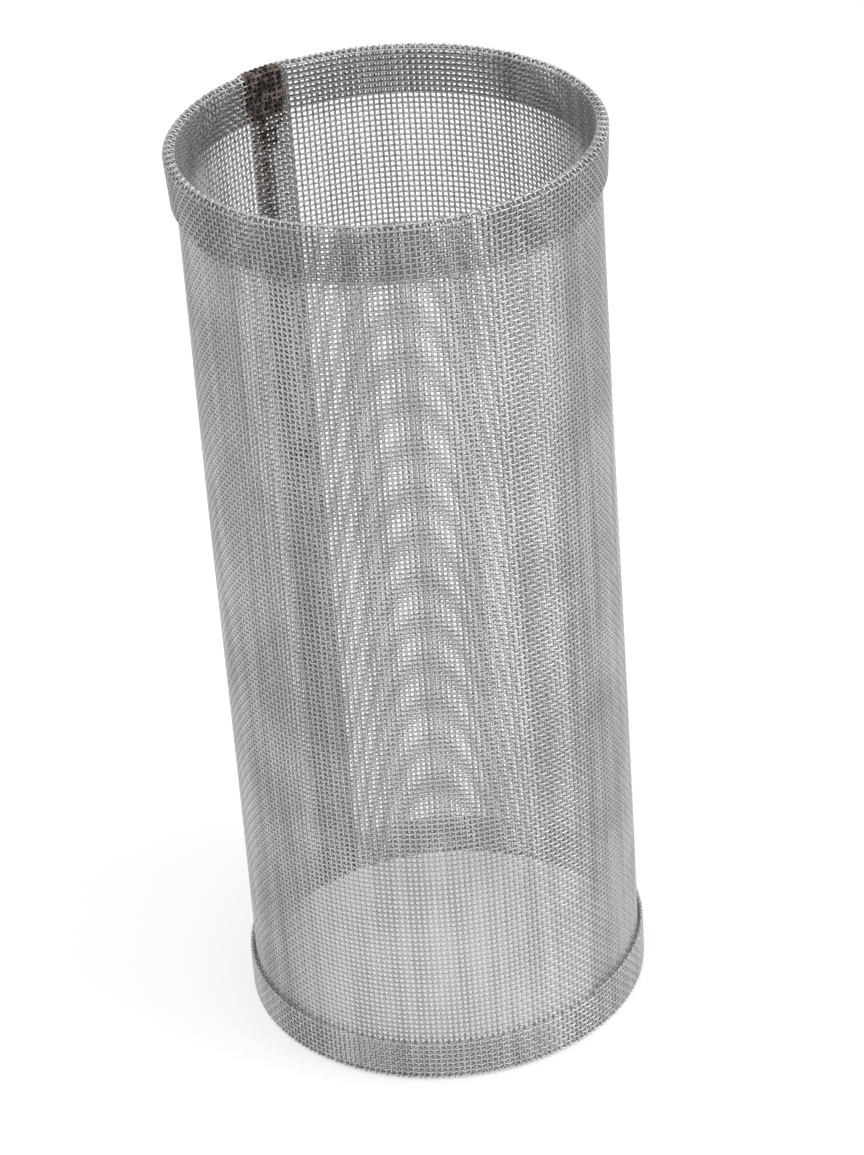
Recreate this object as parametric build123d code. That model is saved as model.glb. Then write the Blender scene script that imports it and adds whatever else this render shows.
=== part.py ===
"""Strainer screen, in millimetres: one sheet of plain-woven steel wire cloth, rolled to a tube, lap-welded down
one side and folded outward to a hem at each end. +Z runs up the tube from the middle of the bottom rim's plane,
and the welded seam is on the far side, left of +Y."""

from build123d import *
import math
import os

# The tube of cloth between its hems
height = 143.5
outer_radius = 30.0
cloth = 0.6

# The hems, each folded outward. The top one is loose and stands out at its lip, the bottom one is pressed
# tight. A lip's round turn is a few flats, and the middle one is the land that the tube stands on
top_hem_height = 9.0
top_lip_width = 1.9
top_edge_gap = 0.15
bottom_hem_height = 7.0
bottom_lip_width = 1.4
bottom_edge_gap = 0.25
edge_overhang = 1.0
lip_flat_count = 3

# The lap seam: angles run from +Y towards -X
seam_angle = 40.0
lap_width = 6.3
joggle_width = 3.1

# The weave, drawn at a coarser pitch than the real wires and just as open: flat strands that pass over and under
# each other, and openings this many strands wide between them
strand_width = 4.7
gap_strand_count = 2

# How far the wall's faces lie inside the faces of the hem leaf that carries them, and how far pieces of the one
# sheet run into each other
leaf_step = 0.03
bite = 0.5

inner_radius = outer_radius - cloth
crown_radius = outer_radius - leaf_step
floor_radius = inner_radius + leaf_step
lap_radius = crown_radius + cloth

wall_bottom = bottom_hem_height - edge_overhang - bite
wall_top = height - top_hem_height + edge_overhang + bite

outer_edge = 90 + seam_angle
inner_edge = outer_edge - math.degrees(lap_width / outer_radius)
joggle_start = inner_edge - math.degrees(joggle_width / outer_radius)
bite_angle = math.degrees(bite / outer_radius)

# The weave counted in strand widths, round the tube and up it, with a strand at each edge. A strand that passes
# under is at the under radius, where its flats touch the floor. The two strands of a crossing meet halfway up
strand_step = 1 + gap_strand_count
weave_pitch = strand_width * strand_step
woven_angle = 360 - (outer_edge - joggle_start)
columns = round(math.radians(woven_angle) * outer_radius / weave_pitch) * strand_step + 1
rows = round((wall_top - wall_bottom) / weave_pitch) * strand_step + 1
column_angle = woven_angle / columns
row_height = (wall_top - wall_bottom) / rows
under_radius = floor_radius / math.cos(math.radians(column_angle) / 2)
middle_radius = (crown_radius + under_radius) / 2


def polar(radius, angle, z=0):
    """The point at this radius and angle about the tube's axis."""
    turn = math.radians(angle)
    return Vector(radius * math.cos(turn), radius * math.sin(turn), z)


def on_weave(column, row, radius):
    """The point at this column and row of the weave."""
    return polar(radius, outer_edge + column * column_angle, wall_bottom + row * row_height)


def outer_face(share):
    """The radius of a strand's outer face: its share is 0 where it tops a crossing and 1 where it is under one."""
    return crown_radius + (middle_radius - crown_radius) * share


def inner_face(share):
    """The radius of a strand's inner face, likewise."""
    return middle_radius + (under_radius - middle_radius) * share


def level_on_top(column, row):
    """Whether the strand round the tube is the outer one at this crossing."""
    return (column + row) // strand_step % 2 == 1


def level_shares(column, row):
    """How far the strand round the tube has dipped at each column from this crossing to the next."""
    shares = [step / gap_strand_count for step in range(gap_strand_count + 1)]
    return shares if level_on_top(column, row) else shares[::-1]


def upright_shares(column, row):
    """How far the strand up the tube has dipped at the ends of its run from this crossing to the next."""
    return (1, 0) if level_on_top(column, row) else (0, 1)


def square(column, row, radius):
    """The corners of one square of the weave, at this radius."""
    return [on_weave(column + x, row + y, radius) for x, y in ((0, 0), (1, 0), (1, 1), (0, 1))]


def crossing(column, row):
    """Where two strands cross: the outer one's face, the inner one's face and the steps along their edges, where
    the other one comes out. Where the weave is cut off, the end of that one is there too."""
    radii = (crown_radius, middle_radius, under_radius)
    outer, middle, inner = [square(column, row, radius) for radius in radii]
    cut_off = (row == 0, column + 1 == columns, row + 1 == rows, column == 0)
    faces = [outer, inner]
    for side in range(4):
        a, b = side, (side + 1) % 4
        edge_of_outer = (side % 2 == 0) == level_on_top(column, row)
        if edge_of_outer or cut_off[side]:
            faces.append([outer[a], outer[b], middle[b], middle[a]])
        if cut_off[side] or not edge_of_outer:
            faces.append([middle[a], middle[b], inner[b], inner[a]])
    return faces


def level_edge(column, row, shares, face):
    """Points along one edge of a strand round the tube, from one crossing's edge to the next's."""
    return [on_weave(column + step, row, face(share)) for step, share in enumerate(shares)]


def upright_edge(column, row, shares, face):
    """The ends of one edge of a strand up the tube, from one crossing's edge to the next's."""
    return [on_weave(column, row, face(shares[0])), on_weave(column, row + gap_strand_count, face(shares[1]))]


def level_run(column, row):
    """The outer and inner faces of a strand round the tube, from this crossing to the next."""
    shares = level_shares(column, row)
    faces = []
    for face in (outer_face, inner_face):
        low, high = [level_edge(column + 1, row + side, shares, face) for side in (0, 1)]
        faces += [[low[n], low[n + 1], high[n + 1], high[n]] for n in range(gap_strand_count)]
    return faces


def upright_run(column, row):
    """The outer and inner faces of a strand up the tube, from this crossing to the next."""
    shares = upright_shares(column, row)
    faces = []
    for face in (outer_face, inner_face):
        left, right = [upright_edge(column + side, row + 1, shares, face) for side in (0, 1)]
        faces.append(left + right[::-1])
    return faces


def level_side(column, row, line):
    """The lower or upper side of a strand round the tube, from this crossing to the next, on this line."""
    shares = level_shares(column, row)
    outside, inside = [level_edge(column + 1, line, shares, face) for face in (outer_face, inner_face)]
    return outside + inside[::-1]


def upright_side(column, row, line):
    """The left or right side of a strand up the tube, from this crossing to the next, on this line."""
    shares = upright_shares(column, row)
    outside, inside = [upright_edge(line, row + 1, shares, face) for face in (outer_face, inner_face)]
    return outside + inside[::-1]


def woven_wall():
    """The wall from one side of the seam round to the other: strands woven over and under, and open between."""
    outlines = []
    for column in range(0, columns, strand_step):
        for row in range(0, rows, strand_step):
            outlines += crossing(column, row)
            if column + strand_step < columns:
                sides = [level_side(column, row, line) for line in (row, row + 1)]
                outlines += level_run(column, row) + sides
            if row + strand_step < rows:
                sides = [upright_side(column, row, line) for line in (column, column + 1)]
                outlines += upright_run(column, row) + sides
    return Solid(Shell([Face(Wire.make_polygon(outline)) for outline in outlines]))


def seam():
    """The lap: the sheet's inner end, its outer end stepped out over it, and both cut edges."""
    arcs = [
        CenterArc((0, 0), crown_radius, joggle_start - bite_angle, bite_angle),
        CenterArc((0, 0), lap_radius, inner_edge, outer_edge - inner_edge),
        CenterArc((0, 0), crown_radius, outer_edge, bite_angle),
        CenterArc((0, 0), floor_radius, inner_edge, outer_edge + bite_angle - inner_edge),
        CenterArc((0, 0), floor_radius, joggle_start - bite_angle, bite_angle),
    ]
    lines = [
        Line(polar(crown_radius, joggle_start), polar(lap_radius, inner_edge)),
        Line(polar(lap_radius, outer_edge), polar(crown_radius, outer_edge)),
        Line(polar(crown_radius, outer_edge + bite_angle), polar(floor_radius, outer_edge + bite_angle)),
        Line(polar(floor_radius, inner_edge), polar(crown_radius, inner_edge)),
        Line(polar(crown_radius, inner_edge), polar(floor_radius, joggle_start)),
        Line(polar(floor_radius, joggle_start - bite_angle), polar(crown_radius, joggle_start - bite_angle)),
    ]
    section = make_face(arcs + lines)
    return Pos(0, 0, wall_bottom) * extrude(section, wall_top - wall_bottom)


def turn(middle, bend, flats):
    """A half turn about this point, from the inner leaf down and out to the outer one, as flats on its arc."""
    lean = math.pi / (flats + 1)
    reach = bend / math.cos(lean / 2)
    angles = [math.pi + lean * (number + 0.5) for number in range(flats + 1)]
    return [(middle + reach * math.cos(angle), bend + reach * math.sin(angle)) for angle in angles]


def hem(hem_height, lip_width, edge_gap):
    """A hem at the bottom rim: the sheet comes down the tube, turns outward round the lip and goes back up to
    its cut edge."""
    leaf_end = hem_height - edge_overhang
    edge_radius = outer_radius + edge_gap
    middle = inner_radius + lip_width / 2
    slit = lip_width / 2 - cloth
    outline = [
        (inner_radius, leaf_end),
        *turn(middle, lip_width / 2, lip_flat_count),
        (edge_radius + cloth, hem_height),
        (edge_radius, hem_height),
        (middle + slit, cloth),
        (middle - slit, cloth),
        (outer_radius, leaf_end),
    ]
    return revolve(Plane.XZ * make_face(Polyline(*outline, close=True)), Axis.Z)


def hem_lap(hem_height, lip_width, edge_gap):
    """Where the seam crosses the bottom hem: the sheet's outer end, welded over the hem's outer leaf, from the
    middle of that leaf out."""
    edge_middle = outer_radius + edge_gap + cloth / 2
    lip_middle = inner_radius + lip_width - cloth / 2
    lap_reach = 3 * cloth / 2
    outline = [
        (edge_middle, hem_height),
        (edge_middle + lap_reach, hem_height),
        (lip_middle + lap_reach, lip_width / 2),
        (lip_middle, lip_width / 4),
    ]
    section = Plane.XZ * make_face(Polyline(*outline, close=True))
    return Rotation(0, 0, inner_edge) * revolve(section, Axis.Z, outer_edge - inner_edge)


def strainer_screen():
    """The whole screen as the one folded and welded sheet that it is."""
    bottom = (bottom_hem_height, bottom_lip_width, bottom_edge_gap)
    top = (top_hem_height, top_lip_width, top_edge_gap)
    lower = [hem(*bottom), hem_lap(*bottom)]
    upper = [Pos(0, 0, height) * mirror(piece, Plane.XY) for piece in (hem(*top), hem_lap(*top))]
    return woven_wall() + [seam(), *lower, *upper]


os.makedirs("parts", exist_ok=True)
export_step(strainer_screen(), "parts/strainer_screen.step")
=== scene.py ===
"""Strainer screen: a rolled tube of plain-woven steel wire cloth, hemmed at both ends and lap-welded down one
side. Every wire is modelled, on one sheet that runs from the bottom hem's cut edge to the top one's."""

import math

import bpy
import numpy as np
from mathutils import Matrix, Vector


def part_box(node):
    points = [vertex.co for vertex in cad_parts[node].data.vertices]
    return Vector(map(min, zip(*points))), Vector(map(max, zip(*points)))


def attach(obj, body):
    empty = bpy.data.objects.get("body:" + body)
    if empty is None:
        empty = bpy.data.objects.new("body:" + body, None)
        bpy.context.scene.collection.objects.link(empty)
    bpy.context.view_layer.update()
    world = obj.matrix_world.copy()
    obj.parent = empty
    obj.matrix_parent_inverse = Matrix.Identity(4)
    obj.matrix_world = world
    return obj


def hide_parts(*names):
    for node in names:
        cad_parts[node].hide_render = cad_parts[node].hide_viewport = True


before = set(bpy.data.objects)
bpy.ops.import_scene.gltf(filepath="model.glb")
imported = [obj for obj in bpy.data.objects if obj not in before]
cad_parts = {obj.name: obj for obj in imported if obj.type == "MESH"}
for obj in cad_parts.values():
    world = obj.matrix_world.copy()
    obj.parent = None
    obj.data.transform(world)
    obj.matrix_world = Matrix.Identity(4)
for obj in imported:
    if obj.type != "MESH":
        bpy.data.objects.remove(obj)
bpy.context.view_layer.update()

MM = 0.001
low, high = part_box("strainer_screen")

# The cloth, in millimetres: 30 wires to the inch. The radius is that of its middle surface
HEIGHT = (high[2] - low[2]) / MM
WALL_RADIUS = 29.7
WIRE_RADIUS = 0.17
PITCH = 0.847

# How the wires are drawn: the sides of each one, how many pieces those up the tube make, and those round
# it, and the distance along the sheet between two points that give its direction
TUBE_SIDES = 5
PIECES_EACH_WAY = 3
NUDGE = PITCH / 8

# The hems: how far each reaches at most, how wide its lip turns and how far its cut edge stands off the
# wall. The fold drags the outer leaf sideways by this share of the pitch
TOP_HEM = {"height": 9.7, "lip": 1.3, "edge": 0.75}
BOTTOM_HEM = {"height": 7.8, "lip": 0.8, "edge": 0.85}
BEND_POINTS = 7
FOLD_DRAG = 0.5

# The cut edges: how much is trimmed off, how far that wanders in waves, and the most rows that it takes.
# A wire up the tube sticks out past the last one that it crosses by the stub's share of the pitch, and a
# length of wire round the tube that crosses too few others has fallen out
EDGE_TRIM = 0.54
EDGE_WANDER = 0.45
EDGE_WAVES = 3
MOST_ROWS_GONE = 4
STUB = 0.4
FEWEST_CROSSED = 3
BOTTOM_EDGE_SEED = 3
TOP_EDGE_SEED = 8

# The seam, in degrees from +X: the sheet's inner end, and how far its outer end laps over it
INNER_EDGE = 118.0
LAP = 12.0
JOGGLE = 6.0
LAP_STEP = 0.6

# How far the hand-rolled tube is out of round. Each wave has a depth, its number of crests round the
# tube, the height over which it shifts by a radian, and its shift at the bottom
ROLLING_WAVES = ((0.10, 2, math.inf, 0.7), (0.05, 3, 23.0, 0.0), (0.04, 1, 17.0, 0.0))

# The resistance welds down the seam. Each nugget's half size is given outward, sideways and upward, and
# the last two vary by chance. It strays by some degrees sideways and some millimetres up or down, and is
# drawn as a ball of rings with so many sides
WELD_ANGLES = (126.0, 128.9)
WELD_PITCH = 1.7
MISSED_WELDS = 0.08
NUGGET_SIZE = (0.62, 0.60, 0.72)
NUGGET_RANGE = (0.7, 1.1)
NUGGET_STRAY_SIDEWAYS = 0.25
NUGGET_STRAY_UP = 0.12
BALL_RINGS = 5
BALL_SIDES = 8
WELD_SEED = 5

# Dark marks: the burn that the last weld left at the top rim, and smaller and paler spatter. Each mark's
# numbers are its angle and height, how many degrees it reaches sideways and how many millimetres it
# reaches down and up
BURN = (125.1, 139.0, 7.0, 8.6, 13.0)
SPATTER = (
    (125.6, 121.0, 1.2, 0.6, 0.6),
    (123.0, 80.0, 6.0, 2.2, 2.2),
    (129.5, 92.0, 2.0, 2.0, 2.0),
    (131.0, 2.5, 3.0, 2.5, 2.5),
    (137.0, 2.0, 2.5, 1.5, 1.5),
)
SPATTER_DEPTH = 0.6

# A mark's outline: the powers that round it off sideways and lengthwise, and, as shares of its reach, how
# ragged it is and where it starts and is full
MARK_POWERS = (1.5, 1.4)
MARK_RAGGED = 0.16
MARK_EDGE = (1.05, 0.85)

# The brown heat tint along the seam: the angles at which it starts and is full on either side, the
# heights that it grows between and its share below them, its share where it is smudged, and how much the
# wires and welds take
TINT_LEFT = (131.3, 129.8)
TINT_RIGHT = (122.9, 124.9)
TINT_HEIGHTS = (60.0, 131.0)
TINT_LOW_DOWN = 0.35
TINT_SMUDGE_SPAN = (0.25, 0.6)
TINT_SMUDGED = 0.55
TINT_ON_WIRE = 0.85
TINT_ON_WELDS = 0.5

# Noises, by their number of cells to the metre. The streaks are on the unrolled cloth instead, where a
# cell is this many degrees wide and this many millimetres long, both divided by the scale
PATCHES = {"scale": 70.0, "detail": 3.0}
SMUDGES = {"scale": 420.0, "detail": 3.0}
SOOT = {"scale": 700.0}
GRAIN = {"scale": 1400.0}
FLOOR_CLOUDS = {"scale": 3.0}
STREAKS = {"scale": 0.6}
STREAK_WIDTH = 2.0
STREAK_LENGTH = 30.0
STREAK_SHARE = 0.55

# The parts of a noise's range over which its effect grows: nearly all of it, and narrower ones
NOISE_SPAN = (0.3, 0.7)
TONE_SPAN = (0.36, 0.64)
SOOT_SPAN = (0.42, 0.64)

# Colours, and the factors of the painted shade that darkens the top hem and the painted highlight that
# brightens its lip. The hem's painted shade blends in within this distance of its edge, and the lip's painted
# highlight between these depths below the top
WIRE_COLOURS = ((0.43, 0.432, 0.438), (0.60, 0.603, 0.610))
WELD_COLOURS = ((0.15, 0.130, 0.120), (0.30, 0.275, 0.262))
TINT_COLOUR = (0.195, 0.163, 0.147)
BURN_COLOURS = ((0.040, 0.030, 0.025), (0.22, 0.178, 0.157))
FLOOR_COLOURS = ((0.90, 0.90, 0.90), (0.92, 0.92, 0.92))
TOP_HEM_PAINTED_SHADE = 0.77
TOP_HEM_SHADE_BLEND = 1.0
LIP_PAINTED_HIGHLIGHT = 1.3
LIP_HIGHLIGHT_BLEND = (1.5, 0.3)

# The steel's finish, what soot adds to it, and how deep the drawn wire's grain is
METALLIC = 0.92
ROUGHNESS = (0.30, 0.46)
SOOT_METALLIC = -0.6
SOOT_ROUGHNESS = 0.25
GRAIN_STRENGTH = 0.25
GRAIN_DEPTH = 0.04

# The floor, in metres, and how white the camera and reflections see it
FLOOR_SIZE = 1.2
FLOOR_ROUGHNESS = 0.9
FLOOR_GLOW = 1.10
FLOOR_GLOW_SHARE = 0.5

# The world brightens upward, and has a wide soft glow in front. Each is strongest towards its side: it
# goes from one strength to the other as the cosine of the angle to that side rises over its span
SKY = {"side": (0.0, 0.0, 1.0), "rise": (0.0, 0.9), "strength": (0.75, 1.10)}
GLOW = {"side": (0.38, -0.85, 0.36), "rise": (0.3, 1.0), "strength": (0.0, 0.35)}

# One soft lamp on the right, in metres and watts
LAMP = {"place": (0.7, -0.25, 0.5), "target": (0.0, 0.0, 0.06), "size": 0.5, "power": 2.4}

# The photograph's camera, fitted to both rims and both sides of the tube, in millimetres, degrees and
# pixels. Its sensor is measured along the picture's height, and it sees nothing nearer than the last
# distance, in metres
CAMERA_PLACE = (0.0, -512.9148, 374.4641)
CAMERA_YAW = 0.20935
CAMERA_PITCH = -30.66645
CAMERA_ROLL = -4.32238
FOCAL_LENGTH_PIXELS = 4000
PHOTO_HEIGHT_PIXELS = 1155
SENSOR_SIZE = 36.0
NEAREST_SEEN = 0.01


def sheet_path():
    """The folded sheet's section as (radius, height) points, from the bottom cut edge to the top one."""
    turns = np.linspace(0, math.pi, BEND_POINTS)
    foot, lip = BOTTOM_HEM["lip"] / 2, TOP_HEM["lip"] / 2
    floor_level, ceiling = foot + 2 * WIRE_RADIUS, HEIGHT - lip - 2 * WIRE_RADIUS
    bottom = [(WALL_RADIUS + foot + foot * math.cos(t), floor_level - foot * math.sin(t)) for t in turns]
    top = [(WALL_RADIUS + lip - lip * math.cos(t), ceiling + lip * math.sin(t)) for t in turns]
    start = (WALL_RADIUS + BOTTOM_HEM["edge"], BOTTOM_HEM["height"])
    end = (WALL_RADIUS + TOP_HEM["edge"], HEIGHT - TOP_HEM["height"])
    return np.array([start, *bottom, *top, end])


def unit(v):
    """These vectors at length 1."""
    return v / np.linalg.norm(v, axis=-1, keepdims=True)


# The sheet's path, the distance along it at each of its points, its rows of wires, its steps from one
# column of wires to the next, and the angle of each step
PATH = sheet_path()
ALONG = np.concatenate([[0.0], np.cumsum(np.linalg.norm(np.diff(PATH, axis=0), axis=1))])
ROWS = int(ALONG[-1] / PITCH)
COLUMNS = round((360 + LAP) / 360 * 2 * math.pi * WALL_RADIUS / PITCH)
STEP = (360 + LAP) / COLUMNS


def on_sheet(along):
    """(radius, height) points at these distances along the sheet, and the outward directions there."""
    places, ahead, behind = [
        np.stack([np.interp(along + shift, ALONG, PATH[:, axis]) for axis in (0, 1)], axis=-1)
        for shift in (0.0, NUDGE, -NUDGE)
    ]
    forward = unit(ahead - behind)
    return places, np.stack([forward[..., 1], -forward[..., 0]], axis=-1)


def dragged(column, along):
    """Where this column lies at these distances along the sheet. It goes off to one side round either lip."""
    lip_ends = ALONG[[1, BEND_POINTS, -BEND_POINTS - 1, -2]]
    return column + FOLD_DRAG * np.interp(along, lip_ends, (-1, 0, 0, 1))


def cut_edge(seed):
    """How many rows are missing at each column along a cut edge."""
    starts = np.random.default_rng(seed).uniform(0, 2 * math.pi, EDGE_WAVES)
    turn = np.radians(np.arange(COLUMNS + 1) * STEP)
    wander = sum(np.sin(turn * number + start) / number for number, start in enumerate(starts, 1))
    rows_gone = np.round((EDGE_TRIM + EDGE_WANDER * wander) / PITCH)
    return np.clip(rows_gone, 0, MOST_ROWS_GONE).astype(int)


def column_angle(column):
    """This column's angle from +X, in radians."""
    return np.radians(INNER_EDGE + column * STEP)


def step_out(column):
    """How far the sheet stands off the tube's own radius: nothing, then a smooth step out before the lap."""
    share = np.clip((column * STEP - 360 + JOGGLE) / JOGGLE, 0, 1)
    return LAP_STEP * share * share * (3 - 2 * share)


def out_of_round(angle, z):
    """How far the tube's waves take it off its radius here."""
    return sum(
        depth * np.sin(crests * angle + z / climb + shift)
        for depth, crests, climb, shift in ROLLING_WAVES
    )


def to_tube(places, column):
    """Points of the section (radius, height) turned to their columns on the tube, in metres."""
    places, column = np.broadcast_arrays(places, np.asarray(column)[..., None])
    column = column[..., 0]
    angle = column_angle(column)
    radius = places[..., 0] + step_out(column) + out_of_round(angle, places[..., 1])
    return np.stack([radius * np.cos(angle), radius * np.sin(angle), places[..., 1]], axis=-1) * MM


def new_object(name, vertices, corners, sizes):
    """A smooth mesh from its vertices, its faces' corners in one row and how many corners each face has."""
    mesh = bpy.data.meshes.new(name)
    mesh.vertices.add(len(vertices))
    mesh.vertices.foreach_set("co", vertices.ravel())
    mesh.loops.add(len(corners))
    mesh.loops.foreach_set("vertex_index", corners.astype(np.int32))
    mesh.polygons.add(len(sizes))
    mesh.polygons.foreach_set("loop_start", (np.cumsum(sizes) - sizes).astype(np.int32))
    mesh.polygons.foreach_set("use_smooth", np.ones(len(sizes), bool))
    mesh.update(calc_edges=True)
    piece = bpy.data.objects.new(name, mesh)
    bpy.context.scene.collection.objects.link(piece)
    return piece


def wires(name, lines):
    """One mesh of round wires. Each line is its points and the two directions across it."""
    turn = np.arange(TUBE_SIDES) * 2 * math.pi / TUBE_SIDES
    here = np.arange(TUBE_SIDES)
    there = (here + 1) % TUBE_SIDES
    vertices, quads, caps = [], [], []
    count = 0
    for points, one, two in lines:
        ring = np.cos(turn)[None, :, None] * one[:, None] + np.sin(turn)[None, :, None] * two[:, None]
        vertices.append((points[:, None] + WIRE_RADIUS * MM * ring).reshape(-1, 3))
        first = count + np.arange(len(points) - 1)[:, None] * TUBE_SIDES
        corners = [first + here, first + there, first + TUBE_SIDES + there, first + TUBE_SIDES + here]
        quads.append(np.stack(corners, axis=-1).reshape(-1, 4))
        caps += [count + here[::-1], count + (len(points) - 1) * TUBE_SIDES + here]
        count += len(points) * TUBE_SIDES
    quads, caps = np.concatenate(quads), np.array(caps)
    corners = np.concatenate([quads.ravel(), caps.ravel()])
    sizes = np.concatenate([np.full(len(quads), 4), np.full(len(caps), TUBE_SIDES)])
    return new_object(name, np.concatenate(vertices), corners, sizes)


def upright_wires(columns, gone_below, gone_above):
    """The wires that run the sheet's whole length, up the tube and over both lips."""
    stations = np.union1d((np.arange(ROWS) + 0.5) * PITCH, ALONG[1:-1])
    lines = []
    for column in columns:
        first = (gone_below[column] + 0.5 - STUB) * PITCH
        last = (ROWS - gone_above[column] - 0.5 + STUB) * PITCH
        along = np.concatenate([[first], stations[(stations > first) & (stations < last)], [last]])
        places, outward = on_sheet(along)
        sway = WIRE_RADIUS * np.cos(math.pi * (along / PITCH - 0.5 + column))
        place = dragged(column, along)
        points = to_tube(places + outward * sway[:, None], place)
        across = unit(to_tube(places + outward, place) - to_tube(places, place))
        angle = column_angle(place)
        sideways = np.stack([-np.sin(angle), np.cos(angle), np.zeros(len(angle))], axis=-1)
        lines.append((points, across, sideways))
    return lines


def hoop_wires(rows, gone_below, gone_above):
    """The wires that run round the tube, from one end of the sheet to the other."""
    lines = []
    for row in rows:
        along = (row + 0.5) * PITCH
        here, outward = on_sheet(along)
        ahead, _ = on_sheet(along + NUDGE)
        present = (row >= gone_below) & (row < ROWS - gone_above)
        breaks = np.flatnonzero(np.diff(present.astype(int))) + 1
        for run in np.split(np.arange(COLUMNS + 1), breaks):
            if not present[run[0]] or len(run) < FEWEST_CROSSED:
                continue
            sway = -WIRE_RADIUS * np.cos(math.pi * (row + run))
            place = dragged(run, along)
            points = to_tube(here + outward * sway[:, None], place)
            across = unit(to_tube(here + outward, place) - to_tube(here, place))
            upward = unit(to_tube(ahead, place) - to_tube(here, place))
            lines.append((points, across, upward))
    return lines


def unit_ball():
    """The points and faces of a ball of radius 1, with its poles on the first axis."""
    turn = np.arange(BALL_SIDES) * 2 * math.pi / BALL_SIDES
    rise = np.linspace(0, math.pi, BALL_RINGS + 2)[1:-1]
    rings = [(math.cos(r), math.sin(r) * math.cos(t), math.sin(r) * math.sin(t)) for r in rise for t in turn]
    points = np.array([(1, 0, 0), *rings, (-1, 0, 0)])
    last = len(points) - 1
    pairs = [(side, (side + 1) % BALL_SIDES) for side in range(BALL_SIDES)]
    faces = []
    for start in range(1, last - BALL_SIDES, BALL_SIDES):
        for a, b in pairs:
            faces.append((start + a, start + a + BALL_SIDES, start + b + BALL_SIDES, start + b))
    for a, b in pairs:
        faces.append((0, 1 + a, 1 + b))
        faces.append((last, last - BALL_SIDES + b, last - BALL_SIDES + a))
    return points, faces


def weld_nuggets():
    """The two rows of small fused spots down the seam, through both layers."""
    rng = np.random.default_rng(WELD_SEED)
    ball, ball_faces = unit_ball()
    vertices, faces = [], []
    for angle in WELD_ANGLES:
        for z in np.arange(WELD_PITCH, HEIGHT - WELD_PITCH, WELD_PITCH):
            if rng.random() < MISSED_WELDS:
                continue
            place = math.radians(angle + rng.normal(0, NUGGET_STRAY_SIDEWAYS))
            out = np.array([math.cos(place), math.sin(place), 0])
            side = np.array([-math.sin(place), math.cos(place), 0])
            up = np.array([0, 0, 1])
            middle = out * (WALL_RADIUS + LAP_STEP / 2) + up * (z + rng.normal(0, NUGGET_STRAY_UP))
            size = np.array(NUGGET_SIZE) * (1, rng.uniform(*NUGGET_RANGE), rng.uniform(*NUGGET_RANGE))
            base = len(vertices) * len(ball)
            vertices.append((middle + ball * size @ np.array([out, side, up])) * MM)
            faces += [[base + corner for corner in face] for face in ball_faces]
    sizes = np.array([len(face) for face in faces])
    return new_object("weld_nuggets", np.concatenate(vertices), np.concatenate(faces), sizes)


class Nodes:
    """Short ways to add nodes to one material and link them."""

    def __init__(self, name):
        self.material = bpy.data.materials.new(name)
        self.material.use_nodes = True
        self.tree = self.material.node_tree
        self.shader = self.tree.nodes["Principled BSDF"]
        self.where = self.tree.nodes.new("ShaderNodeTexCoord").outputs["Object"]

    def put(self, socket, value):
        """A value or another node's output on this socket."""
        if isinstance(value, bpy.types.NodeSocket):
            self.tree.links.new(value, socket)
        else:
            socket.default_value = value

    def calc(self, operation, *values):
        node = self.tree.nodes.new("ShaderNodeMath")
        node.operation = operation
        for socket, value in zip(node.inputs, values):
            self.put(socket, value)
        return node.outputs[0]

    def ramp(self, value, start, end, to_start=0.0, to_end=1.0):
        """The value eased from one range to another and held at its ends."""
        node = self.tree.nodes.new("ShaderNodeMapRange")
        node.interpolation_type = "SMOOTHSTEP"
        for number, given in enumerate((value, start, end, to_start, to_end)):
            self.put(node.inputs[number], given)
        return node.outputs["Result"]

    def noise(self, scale, detail=2.0, where=None):
        node = self.tree.nodes.new("ShaderNodeTexNoise")
        node.inputs["Scale"].default_value = scale
        node.inputs["Detail"].default_value = detail
        self.tree.links.new(where or self.where, node.inputs["Vector"])
        return node.outputs["Fac"]

    def blend(self, share, first, second):
        """A mix of two colours, whose sockets are the node's seventh and eighth."""
        node = self.tree.nodes.new("ShaderNodeMix")
        node.data_type = "RGBA"
        for socket, value in zip((node.inputs[0], node.inputs[6], node.inputs[7]), (share, first, second)):
            self.put(socket, value if isinstance(value, (float, bpy.types.NodeSocket)) else (*value, 1.0))
        return node.outputs[2]

    def scale(self, colour, factor):
        node = self.tree.nodes.new("ShaderNodeVectorMath")
        node.operation = "SCALE"
        self.put(node.inputs["Vector"], colour)
        self.put(node.inputs["Scale"], factor)
        return node.outputs["Vector"]

    def bump(self, height, strength, distance):
        node = self.tree.nodes.new("ShaderNodeBump")
        node.inputs["Strength"].default_value = strength
        node.inputs["Distance"].default_value = distance
        self.tree.links.new(height, node.inputs["Height"])
        self.tree.links.new(node.outputs["Normal"], self.shader.inputs["Normal"])


def tube_places(n):
    """Each point's angle from +X in degrees, and its height in millimetres."""
    parts = n.tree.nodes.new("ShaderNodeSeparateXYZ")
    n.tree.links.new(n.where, parts.inputs[0])
    x, y, z = parts.outputs
    angle = n.calc("MULTIPLY", n.calc("ARCTAN2", y, x), 180 / math.pi)
    return angle, n.calc("DIVIDE", z, MM)


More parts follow.
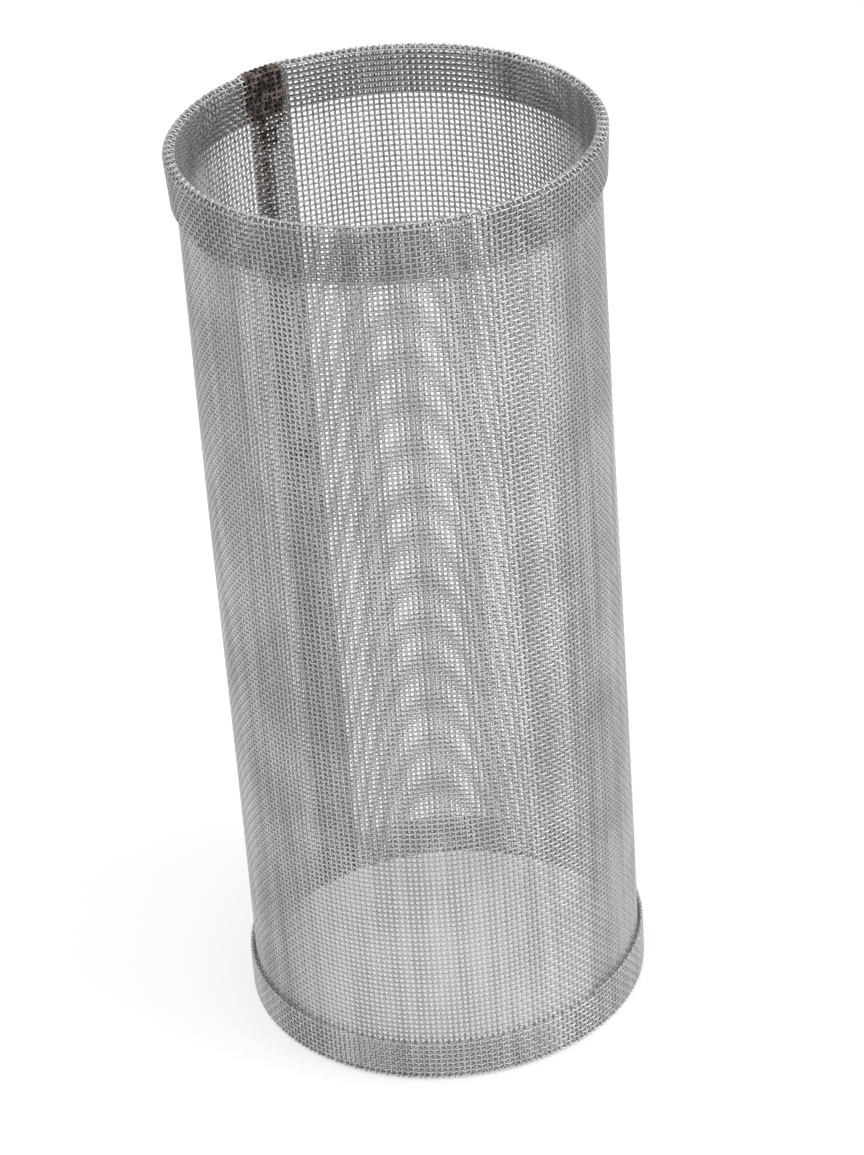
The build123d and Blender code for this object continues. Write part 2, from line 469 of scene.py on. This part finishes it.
def steel_with_painted_light(n, angle, height, colours):
    """The wire's own colour with patches and streaks up the tube, plus painted shade on the top hem and a
    painted highlight on its lip.
    """
    unrolled = n.tree.nodes.new("ShaderNodeCombineXYZ")
    n.put(unrolled.inputs[0], n.calc("DIVIDE", angle, STREAK_WIDTH))
    n.put(unrolled.inputs[1], n.calc("DIVIDE", height, STREAK_LENGTH))
    patches = n.calc("MULTIPLY", n.noise(**PATCHES), 1 - STREAK_SHARE)
    streaks = n.calc("MULTIPLY", n.noise(**STREAKS, where=unrolled.outputs[0]), STREAK_SHARE)
    colour = n.blend(n.ramp(n.calc("ADD", patches, streaks), *TONE_SPAN), *colours)
    hem_edge = HEIGHT - TOP_HEM["height"]
    # Painted shade: the top hem's colour is darkened by this factor, standing in for the dimmer light up
    # there
    top_hem_shade = n.ramp(height, hem_edge - TOP_HEM_SHADE_BLEND, hem_edge + TOP_HEM_SHADE_BLEND, 1.0, TOP_HEM_PAINTED_SHADE)
    # Painted highlight: the lip's colour is brightened towards the rim, standing in for the light that it
    # catches
    lip = n.ramp(height, HEIGHT - LIP_HIGHLIGHT_BLEND[0], HEIGHT - LIP_HIGHLIGHT_BLEND[1], 1.0, LIP_PAINTED_HIGHLIGHT)
    return n.scale(n.scale(colour, top_hem_shade), lip)


def heat_tint(n, angle, height, smudges):
    """How brown each point is: a band along the seam that fades at both sides and downward."""
    band = n.calc("MULTIPLY", n.ramp(angle, *TINT_LEFT), n.ramp(angle, *TINT_RIGHT))
    band = n.calc("MULTIPLY", band, n.ramp(height, *TINT_HEIGHTS, TINT_LOW_DOWN, 1.0))
    return n.calc("MULTIPLY", band, n.ramp(smudges, *TINT_SMUDGE_SPAN, TINT_SMUDGED, 1.0))


def dark_marks(n, angle, height, smudges):
    """How far each point is into one of the dark marks, which are drops with ragged edges."""
    depth = 0.0
    for mark, deepest in ((BURN, 1.0), *((spot, SPATTER_DEPTH) for spot in SPATTER)):
        mark_angle, mark_height, wide, down, up = mark
        across = n.calc("ABSOLUTE", n.calc("DIVIDE", n.calc("SUBTRACT", angle, mark_angle), wide))
        below = n.calc("SUBTRACT", mark_height, height)
        along = n.calc("MAXIMUM", n.calc("DIVIDE", below, down), n.calc("DIVIDE", below, -up))
        rounded = [n.calc("POWER", reach, power) for reach, power in zip((across, along), MARK_POWERS)]
        ragged = n.ramp(smudges, *NOISE_SPAN, -MARK_RAGGED, MARK_RAGGED)
        away = n.calc("ADD", n.calc("ADD", *rounded), ragged)
        depth = n.calc("MAXIMUM", depth, n.ramp(away, *MARK_EDGE, 0.0, deepest))
    return depth


def steel(name, colours, tinted):
    """Drawn wire with the heat tint down the seam, the burn at the rim, dark weld spatter, and the painted
    shade on the top hem and painted highlight on its lip.
    """
    n = Nodes(name)
    angle, height = tube_places(n)
    smudges, grain = n.noise(**SMUDGES), n.noise(**GRAIN)
    tint = n.calc("MULTIPLY", heat_tint(n, angle, height, smudges), tinted)
    colour = n.blend(tint, steel_with_painted_light(n, angle, height, colours), TINT_COLOUR)
    burn = dark_marks(n, angle, height, smudges)
    colour = n.blend(burn, colour, n.blend(n.ramp(n.noise(**SOOT), *SOOT_SPAN), *BURN_COLOURS))
    roughness = n.ramp(grain, *NOISE_SPAN, *ROUGHNESS)
    n.put(n.shader.inputs["Base Color"], colour)
    n.put(n.shader.inputs["Metallic"], n.calc("MULTIPLY_ADD", burn, SOOT_METALLIC, METALLIC))
    n.put(n.shader.inputs["Roughness"], n.calc("MULTIPLY_ADD", burn, SOOT_ROUGHNESS, roughness))
    n.bump(grain, GRAIN_STRENGTH, GRAIN_DEPTH * MM)
    return n.material


def add_cloth():
    """All the wires, in pieces, and the welds."""
    below, above = cut_edge(BOTTOM_EDGE_SEED), cut_edge(TOP_EDGE_SEED)
    wire = steel("wire_cloth", WIRE_COLOURS, TINT_ON_WIRE)
    fused = steel("weld_steel", WELD_COLOURS, TINT_ON_WELDS)
    pieces = []
    for number, columns in enumerate(np.array_split(np.arange(COLUMNS + 1), PIECES_EACH_WAY), 1):
        pieces.append(wires(f"upright_wires_{number}", upright_wires(columns, below, above)))
    for number, rows in enumerate(np.array_split(np.arange(ROWS), PIECES_EACH_WAY), 1):
        pieces.append(wires(f"hoop_wires_{number}", hoop_wires(rows, below, above)))
    nuggets = weld_nuggets()
    for piece in (*pieces, nuggets):
        piece.data.materials.append(fused if piece is nuggets else wire)
        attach(piece, "root")
        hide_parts("strainer_screen")


def add_floor():
    """A plain white table. The camera and reflections see it whiter than it is, so it leaves no edge in the
    picture, and it still takes the shadow."""
    bpy.ops.mesh.primitive_plane_add(size=FLOOR_SIZE)
    floor = bpy.context.object
    floor.name = "floor"
    n = Nodes("floor_white")
    clouds = n.ramp(n.noise(**FLOOR_CLOUDS), *NOISE_SPAN)
    n.put(n.shader.inputs["Base Color"], n.blend(clouds, *FLOOR_COLOURS))
    n.put(n.shader.inputs["Roughness"], FLOOR_ROUGHNESS)
    rays = n.tree.nodes.new("ShaderNodeLightPath").outputs
    seen = n.calc("MAXIMUM", rays["Is Camera Ray"], rays["Is Glossy Ray"])
    seen = n.calc("MAXIMUM", seen, rays["Is Transmission Ray"])
    white = n.tree.nodes.new("ShaderNodeEmission")
    n.put(white.inputs["Strength"], FLOOR_GLOW)
    both = n.tree.nodes.new("ShaderNodeMixShader")
    n.put(both.inputs[0], n.calc("MULTIPLY", seen, FLOOR_GLOW_SHARE))
    n.put(both.inputs[1], n.shader.outputs[0])
    n.put(both.inputs[2], white.outputs[0])
    n.put(n.tree.nodes["Material Output"].inputs["Surface"], both.outputs[0])
    floor.data.materials.append(n.material)


def add_world():
    """The plain bright studio round the table: the sky and the glow, added up."""
    world = bpy.data.worlds.new("studio")
    bpy.context.scene.world = world
    world.use_nodes = True
    nodes, links = world.node_tree.nodes, world.node_tree.links
    place = nodes.new("ShaderNodeTexCoord").outputs["Generated"]
    total = nodes.new("ShaderNodeMath")
    for light, socket in zip((SKY, GLOW), total.inputs):
        toward = nodes.new("ShaderNodeVectorMath")
        toward.operation = "DOT_PRODUCT"
        toward.inputs[1].default_value = light["side"]
        rise = nodes.new("ShaderNodeMapRange")
        rise.interpolation_type = "SMOOTHSTEP"
        for number, value in enumerate((*light["rise"], *light["strength"]), 1):
            rise.inputs[number].default_value = value
        links.new(place, toward.inputs[0])
        links.new(toward.outputs["Value"], rise.inputs[0])
        links.new(rise.outputs["Result"], socket)
    nodes["Background"].inputs["Color"].default_value = (1, 1, 1, 1)
    links.new(total.outputs[0], nodes["Background"].inputs["Strength"])


def add_lamp():
    """The lamp, turned to its target."""
    lamp = bpy.data.lights.new("right", "AREA")
    lamp.size = LAMP["size"]
    lamp.energy = LAMP["power"]
    holder = bpy.data.objects.new("right", lamp)
    bpy.context.scene.collection.objects.link(holder)
    holder.location = LAMP["place"]
    aim = Vector(LAMP["target"]) - Vector(LAMP["place"])
    holder.rotation_euler = aim.to_track_quat("-Z", "Y").to_euler()


def add_camera():
    """The camera in its place, level and facing +Y, then turned to its right, raised and rolled."""
    camera = bpy.data.cameras.new("camera")
    camera.sensor_width = SENSOR_SIZE
    camera.lens = FOCAL_LENGTH_PIXELS / PHOTO_HEIGHT_PIXELS * SENSOR_SIZE
    camera.clip_start = NEAREST_SEEN
    holder = bpy.data.objects.new("camera", camera)
    bpy.context.scene.collection.objects.link(holder)
    matrix = Matrix.Translation(Vector(CAMERA_PLACE) * MM)
    for degrees, axis in ((-CAMERA_YAW, "Z"), (90 + CAMERA_PITCH, "X"), (CAMERA_ROLL, "Z")):
        matrix = matrix @ Matrix.Rotation(math.radians(degrees), 4, axis)
    holder.matrix_world = matrix
    bpy.context.scene.camera = holder


add_cloth()
add_floor()
add_world()
add_lamp()
add_camera()
bpy.context.scene.view_settings.view_transform = "Standard"
